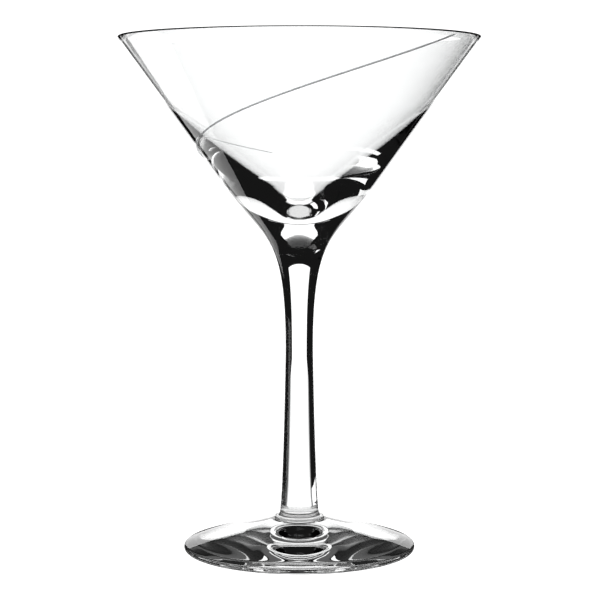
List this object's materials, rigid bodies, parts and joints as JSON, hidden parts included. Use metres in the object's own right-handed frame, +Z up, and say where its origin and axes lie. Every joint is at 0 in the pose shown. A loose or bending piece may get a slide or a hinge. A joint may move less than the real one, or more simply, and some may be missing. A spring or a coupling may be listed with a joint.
{
  "type": "martini glass",
  "caption": "Clear crystal martini glass: wide conical bowl with a thick solid base, drawn stem, shallow cone foot, and a fine clear glass thread trailed round the bowl.",
  "frame": {"origin": "centre of the flat ring that the foot rests on", "axes": "+Z up along the glass's axis of turning, towards the lip; the thread starts at the lip on the -Y side"},
  "size_m": [0.1168, 0.1168, 0.1672],
  "materials": {
    "clear_crystal": "clear, fire-polished, slightly rippled on the foot",
    "thread_glass": "clear glass thread, glossy; it reads as a dark line over a pale ground and a light one over a dark ground"
  },
  "bodies": {
    "root": {"bowl": "clear_crystal", "stem": "clear_crystal", "foot": "clear_crystal", "thread": "thread_glass"}
  },
  "joints": []
}
